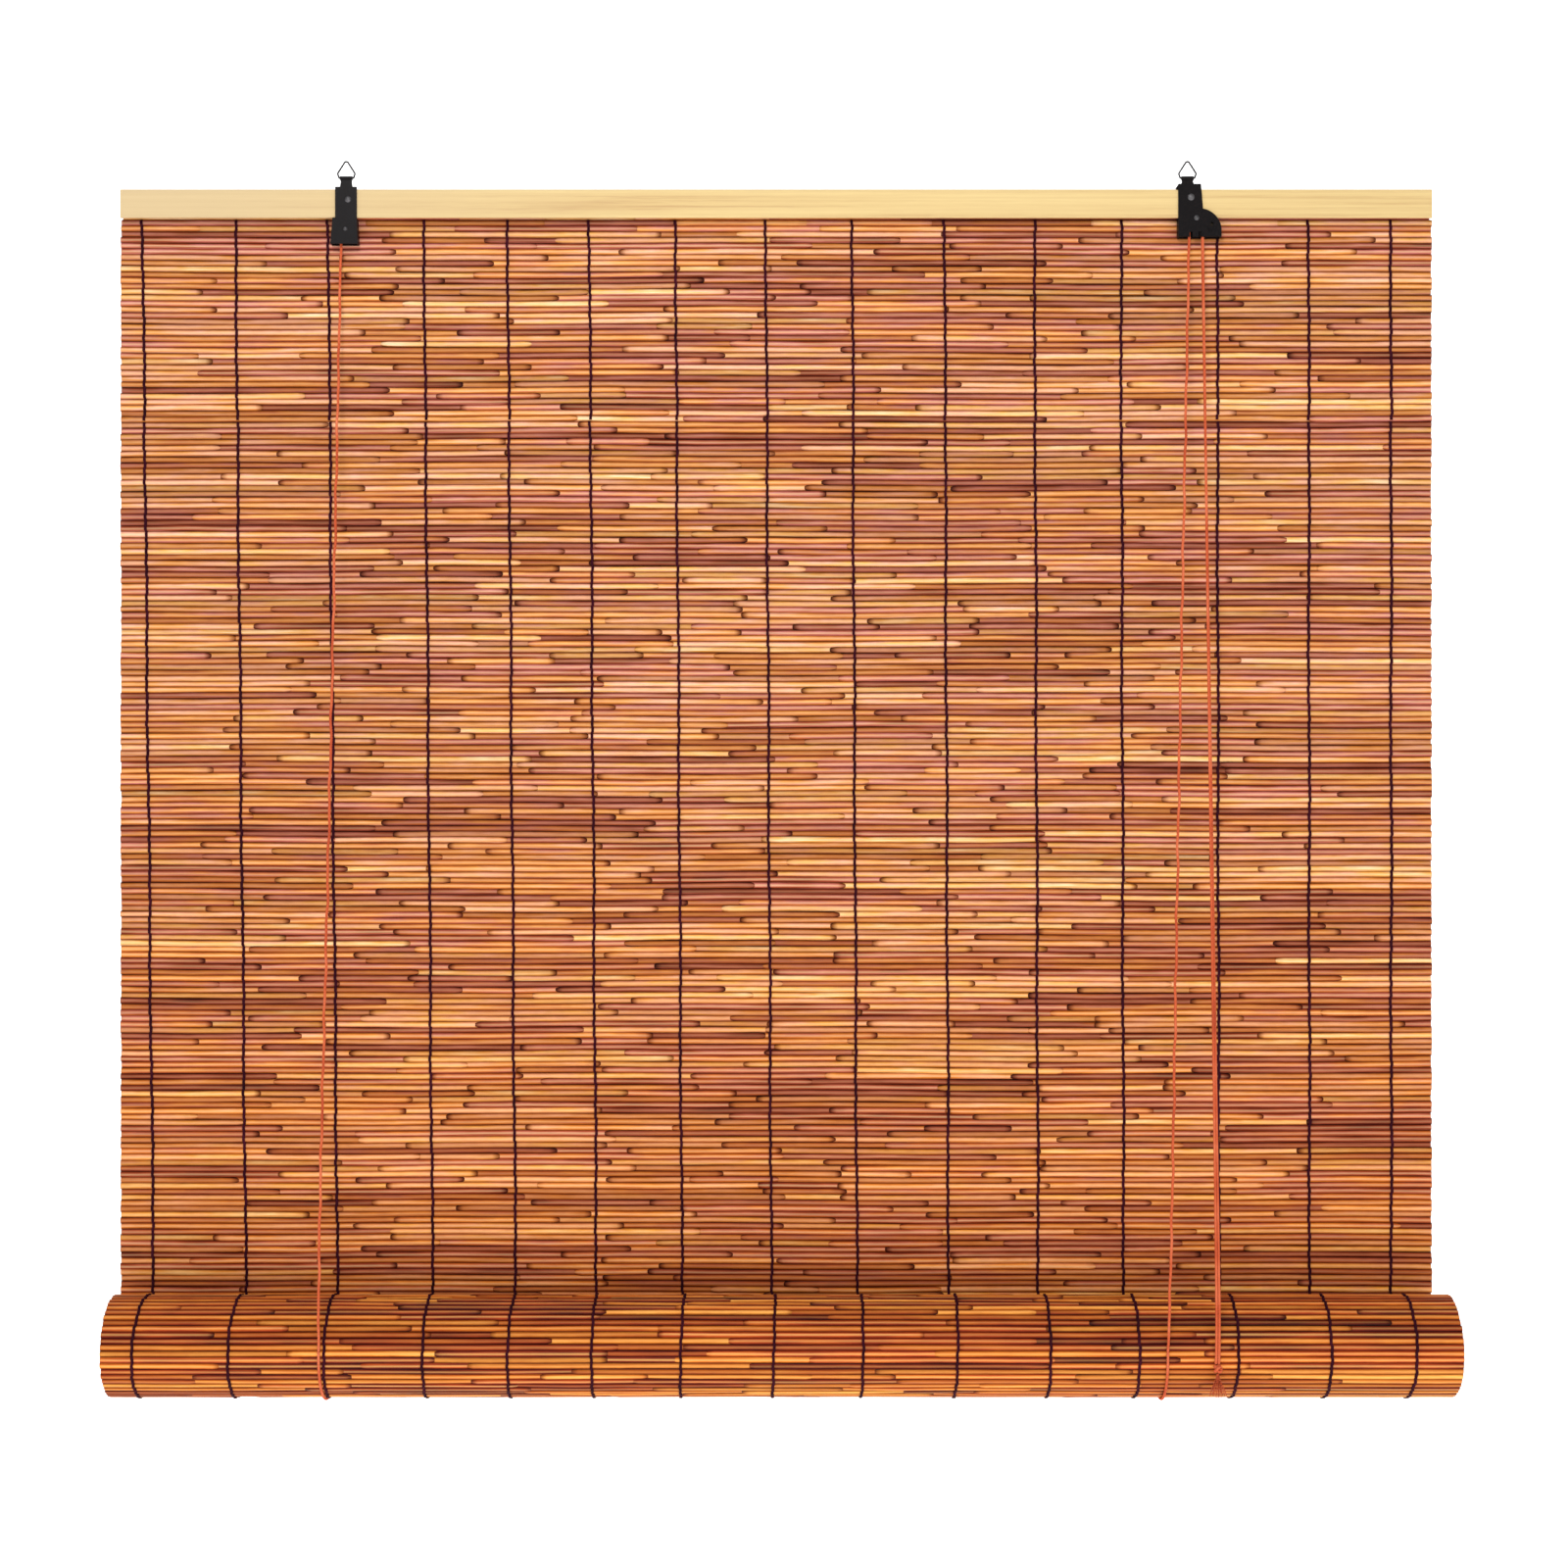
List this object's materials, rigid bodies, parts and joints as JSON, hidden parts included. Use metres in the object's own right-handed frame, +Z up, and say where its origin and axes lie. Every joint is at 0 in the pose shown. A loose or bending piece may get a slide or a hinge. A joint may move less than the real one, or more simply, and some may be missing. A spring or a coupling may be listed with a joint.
{
  "type": "reed roll-up blind",
  "caption": "Roll-up window blind of woven natural reeds on a wooden top rail, rolled up at the bottom in cord slings, with black pulley heads, hanging rings and a pull cord.",
  "frame": {"origin": "where the wall hook bears inside the left hanging ring", "axes": "+X along the rail to the right as seen from the room, -Y into the room, +Z up"},
  "size_m": [1.2, 0.1191, 1.1229],
  "materials": {
    "pine": "smooth sawn softwood, clear",
    "reed": "natural peeled reed, satin",
    "roll_reed": "natural peeled reed, satin",
    "thread": "dark spun thread",
    "black_metal": "black enamel over pressed steel",
    "rivet": "dull steel",
    "screw": "zinc plated",
    "pulley": "moulded nylon",
    "brass": "knurled",
    "cord": "braided orange-red cord"
  },
  "bodies": {
    "rail": {"front_batten": "pine", "rear_batten": "pine", "rail_screws": "screw", "mat_head": "reed", "hanging_mat": "reed", "hanging_threads": "thread", "left_plate": "black_metal", "left_cheek": "black_metal", "left_guide_pin": "rivet", "left_spacer": "rivet", "left_pulley_pin": "rivet", "left_fixing_rivet": "rivet", "left_rear_plate": "black_metal", "right_plate": "black_metal", "right_cheek": "black_metal", "right_pulley_pin": "rivet", "right_fixing_rivet": "rivet", "right_rear_plate": "black_metal", "lock_anvil": "black_metal", "cross_cord": "cord", "right_head_cord": "cord", "left_front_run": "cord", "right_front_run": "cord", "left_rear_run": "cord", "right_rear_run": "cord", "left_rear_knot": "cord", "right_rear_knot": "cord", "pull_strand_front": "cord", "pull_strand_rear": "cord"},
    "slings": {"left_sling": "cord", "right_sling": "cord", "pull_knot": "cord", "tassel": "cord"},
    "roll": {"rolled_mat": "roll_reed", "rolled_threads": "thread", "bottom_slat": "pine"},
    "left_ring": {"left_ring": "black_metal"},
    "right_ring": {"right_ring": "black_metal"},
    "left_pulley": {"left_pulley": "pulley"},
    "right_lift_pulley": {"right_lift_pulley": "pulley"},
    "right_cross_pulley": {"right_cross_pulley": "pulley"},
    "lock_axle": {"lock_axle": "rivet"},
    "lock_roller": {"lock_roller": "brass"}
  },
  "joints": [
    {"name": "roll_lift", "type": "slide", "parent": "rail", "child": "slings", "axis": [0, 0, 1], "range_m": [0, 0.835], "deforming": ["hanging_mat", "hanging_threads", "left_front_run", "right_front_run", "left_rear_run", "right_rear_run", "pull_strand_front", "pull_strand_rear"]},
    {"name": "roll_turn", "type": "hinge", "parent": "slings", "child": "roll", "pos_m": [0.393, -0.032, -1.07245], "axis": [1, 0, 0], "range_deg": [-1081, 0]},
    {"name": "left_ring_swing", "type": "hinge", "parent": "rail", "child": "left_ring", "pos_m": [0, 0, -0.01455], "axis": [1, 0, 0], "range_deg": [-90, 90]},
    {"name": "right_ring_swing", "type": "hinge", "parent": "rail", "child": "right_ring", "pos_m": [0.769, 0, -0.01455], "axis": [1, 0, 0], "range_deg": [-90, 90]},
    {"name": "left_pulley_spin", "type": "hinge", "parent": "rail", "child": "left_pulley", "pos_m": [-0.0008, 0.004, -0.06085], "axis": [0, 1, 0], "range_deg": [0, 19137.79]},
    {"name": "right_lift_pulley_spin", "type": "hinge", "parent": "rail", "child": "right_lift_pulley", "pos_m": [0.7773, 0.004, -0.05075], "axis": [0, 1, 0], "range_deg": [0, 15559.37]},
    {"name": "right_cross_pulley_spin", "type": "hinge", "parent": "rail", "child": "right_cross_pulley", "pos_m": [0.7773, 0.004, -0.05075], "axis": [0, 1, 0], "range_deg": [0, 15559.37]},
    {"name": "lock_slide", "type": "slide", "parent": "rail", "child": "lock_axle", "axis": [0.3202, 0, 0.9474], "range_m": [0, 0.0046]},
    {"name": "lock_roll", "type": "hinge", "parent": "lock_axle", "child": "lock_roller", "pos_m": [0.79, 0.004, -0.06045], "axis": [0, 1, 0], "continuous": true}
  ],
  "couplings": [
    {"joint": "roll_turn", "follows": "roll_lift", "rad_per_m": -22.574},
    {"joint": "left_pulley_spin", "follows": "roll_lift", "rad_per_m": 400},
    {"joint": "right_lift_pulley_spin", "follows": "roll_lift", "rad_per_m": 325.2},
    {"joint": "right_cross_pulley_spin", "follows": "roll_lift", "rad_per_m": 325.2}
  ]
}
